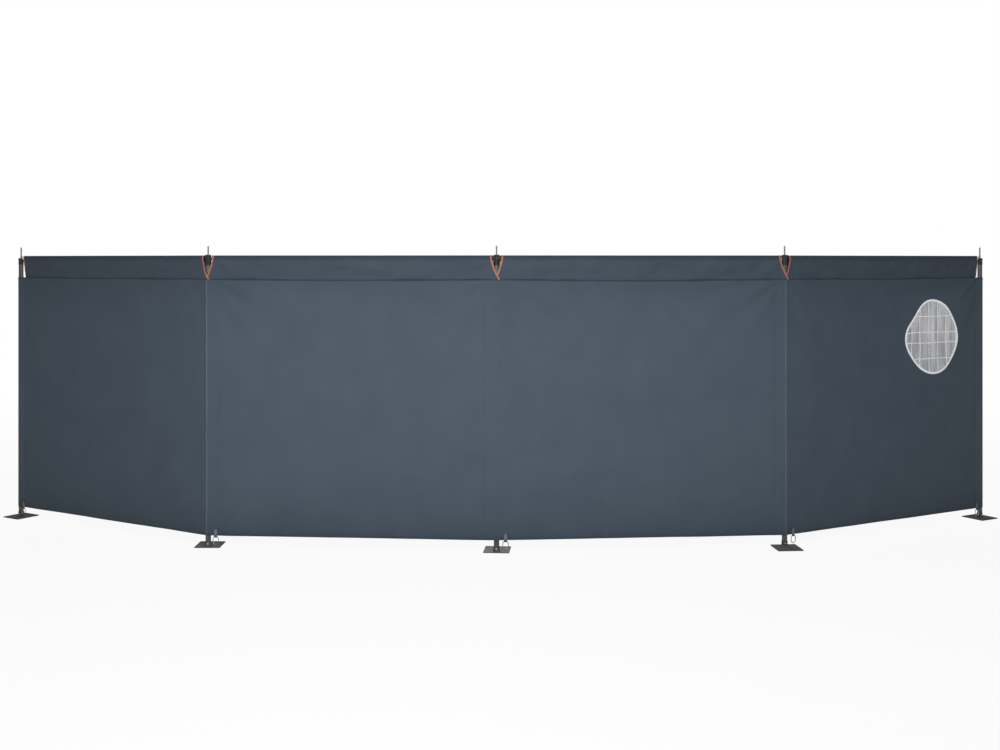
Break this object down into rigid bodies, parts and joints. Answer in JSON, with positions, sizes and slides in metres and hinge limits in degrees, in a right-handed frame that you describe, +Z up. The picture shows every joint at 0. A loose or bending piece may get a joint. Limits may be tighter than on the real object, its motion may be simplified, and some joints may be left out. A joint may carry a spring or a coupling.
{
  "type": "beach windbreak",
  "caption": "Free-standing cloth windbreak: bays between steel poles on flat foot plates, rails in a top pocket whose eyes turn on the pole pins so bays fold, and a clear window in an end bay.",
  "frame": {"origin": "on the ground under the middle pole, at the underside of its foot plate", "axes": "+X along the front from left to right, +Y away from the front, +Z up"},
  "size_m": [5.54, 1.026, 1.5071],
  "materials": {
    "cloth": "dark slate woven cloth, matt, taut",
    "pole_steel": "dark grey powder-coated steel tube",
    "pin_steel": "plain turned steel pin",
    "rail_metal": "plain drawn aluminium tube",
    "black_plastic": "moulded black plastic",
    "foot_steel": "dark grey powder-coated steel plate",
    "webbing": "light grey woven webbing",
    "ring_wire": "zinc-plated steel wire",
    "binding": "white woven binding tape",
    "clear_pane": "clear flexible film with a white scrim"
  },
  "bodies": {
    "left_inner_bay": {"pole_2": "pole_steel", "pole_3": "pole_steel", "pole_cap_2": "black_plastic", "pole_cap_3": "black_plastic", "pole_pin_2": "pin_steel", "pole_pin_3": "pin_steel", "foot_plate_2": "foot_steel", "foot_plate_3": "foot_steel", "pole_sleeve_2": "cloth", "pole_sleeve_3": "cloth", "top_rail_2": "rail_metal", "rail_ends_2": "black_plastic", "panel_2": "cloth", "peg_strap_2": "webbing", "peg_ring_2": "ring_wire"},
    "left_end_bay": {"pole_1": "pole_steel", "pole_cap_1": "black_plastic", "pole_pin_1": "pin_steel", "foot_plate_1": "foot_steel", "pole_sleeve_1": "cloth", "top_rail_1": "rail_metal", "rail_ends_1": "black_plastic", "panel_1": "cloth", "peg_strap_1": "webbing", "peg_ring_1": "ring_wire"},
    "right_inner_bay": {"pole_4": "pole_steel", "pole_cap_4": "black_plastic", "pole_pin_4": "pin_steel", "foot_plate_4": "foot_steel", "pole_sleeve_4": "cloth", "top_rail_3": "rail_metal", "rail_ends_3": "black_plastic", "panel_3": "cloth", "peg_strap_3": "webbing", "peg_ring_3": "ring_wire"},
    "right_end_bay": {"pole_5": "pole_steel", "pole_cap_5": "black_plastic", "pole_pin_5": "pin_steel", "foot_plate_5": "foot_steel", "pole_sleeve_5": "cloth", "top_rail_4": "rail_metal", "rail_ends_4": "black_plastic", "panel_4": "cloth", "window_pane": "clear_pane", "window_binding": "binding", "peg_strap_4": "webbing", "peg_strap_5": "webbing", "peg_ring_4": "ring_wire", "peg_ring_5": "ring_wire"}
  },
  "joints": [
    {"name": "left_pole_fold", "type": "hinge", "parent": "left_inner_bay", "child": "left_end_bay", "pos_m": [-1.44533, 0.11629, 1.4471], "axis": [0, 0, -1], "range_deg": [-113, 57]},
    {"name": "middle_pole_fold", "type": "hinge", "parent": "left_inner_bay", "child": "right_inner_bay", "pos_m": [0, 0, 1.4471], "axis": [0, 0, 1], "range_deg": [-94.5, 75.5]},
    {"name": "right_pole_fold", "type": "hinge", "parent": "right_inner_bay", "child": "right_end_bay", "pos_m": [1.4447, 0.12386, 1.4471], "axis": [0, 0, 1], "range_deg": [-110.7, 59.3]}
  ]
}
